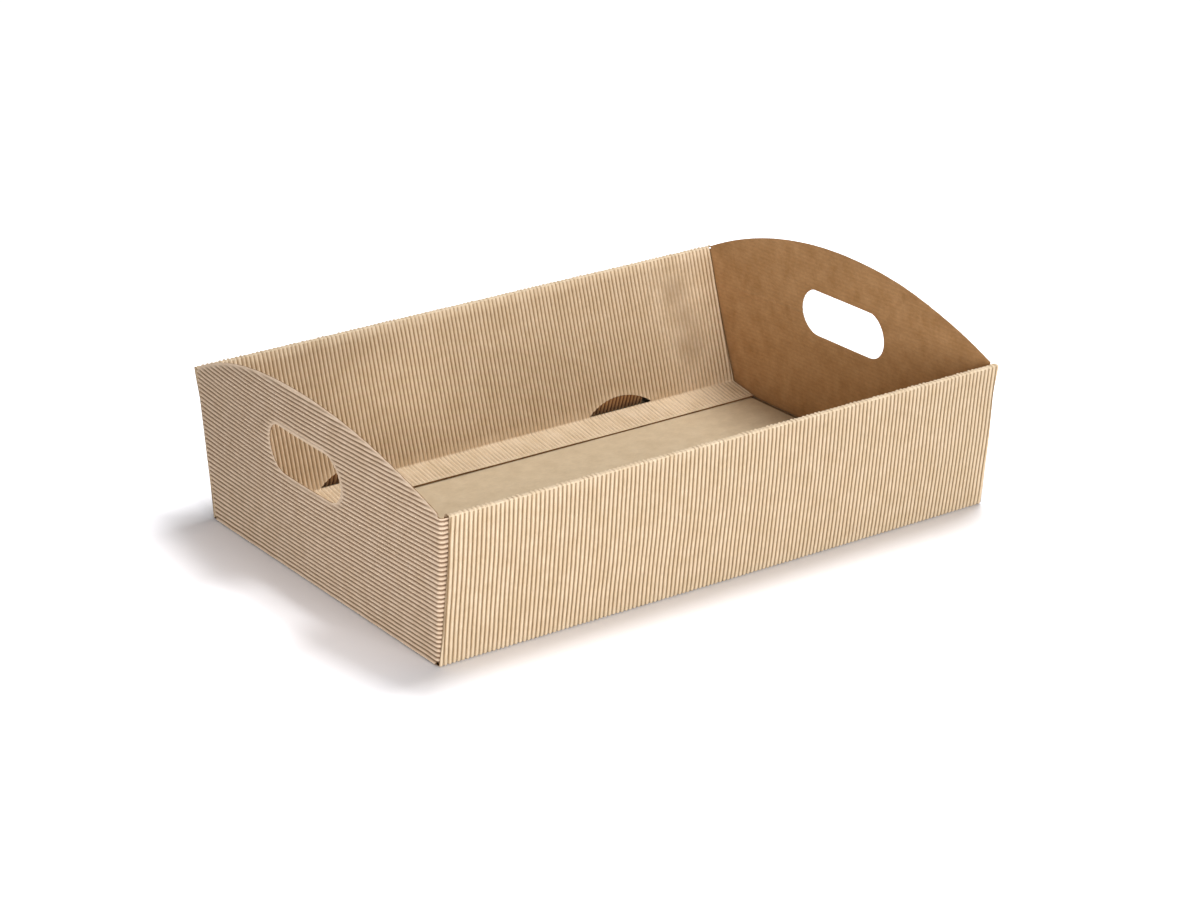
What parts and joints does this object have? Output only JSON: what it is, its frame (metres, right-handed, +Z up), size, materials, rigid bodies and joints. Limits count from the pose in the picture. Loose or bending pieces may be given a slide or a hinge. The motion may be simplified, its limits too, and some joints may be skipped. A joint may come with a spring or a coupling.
{
  "type": "cardboard tray box",
  "caption": "Open rectangular tray of fluted kraft card with double long walls, arched end walls and hand holes.",
  "frame": {"origin": "middle of the underside between the end walls' creases, on the base's flute crests", "axes": "+X along the long walls, +Y across the tray to the back wall, +Z up out of the tray"},
  "size_m": [0.451, 0.336, 0.1435],
  "materials": {
    "kraft_card": "matte, open flutes on one side and a smooth liner on the other"
  },
  "bodies": {
    "root": {"tray": "kraft_card"}
  },
  "joints": []
}
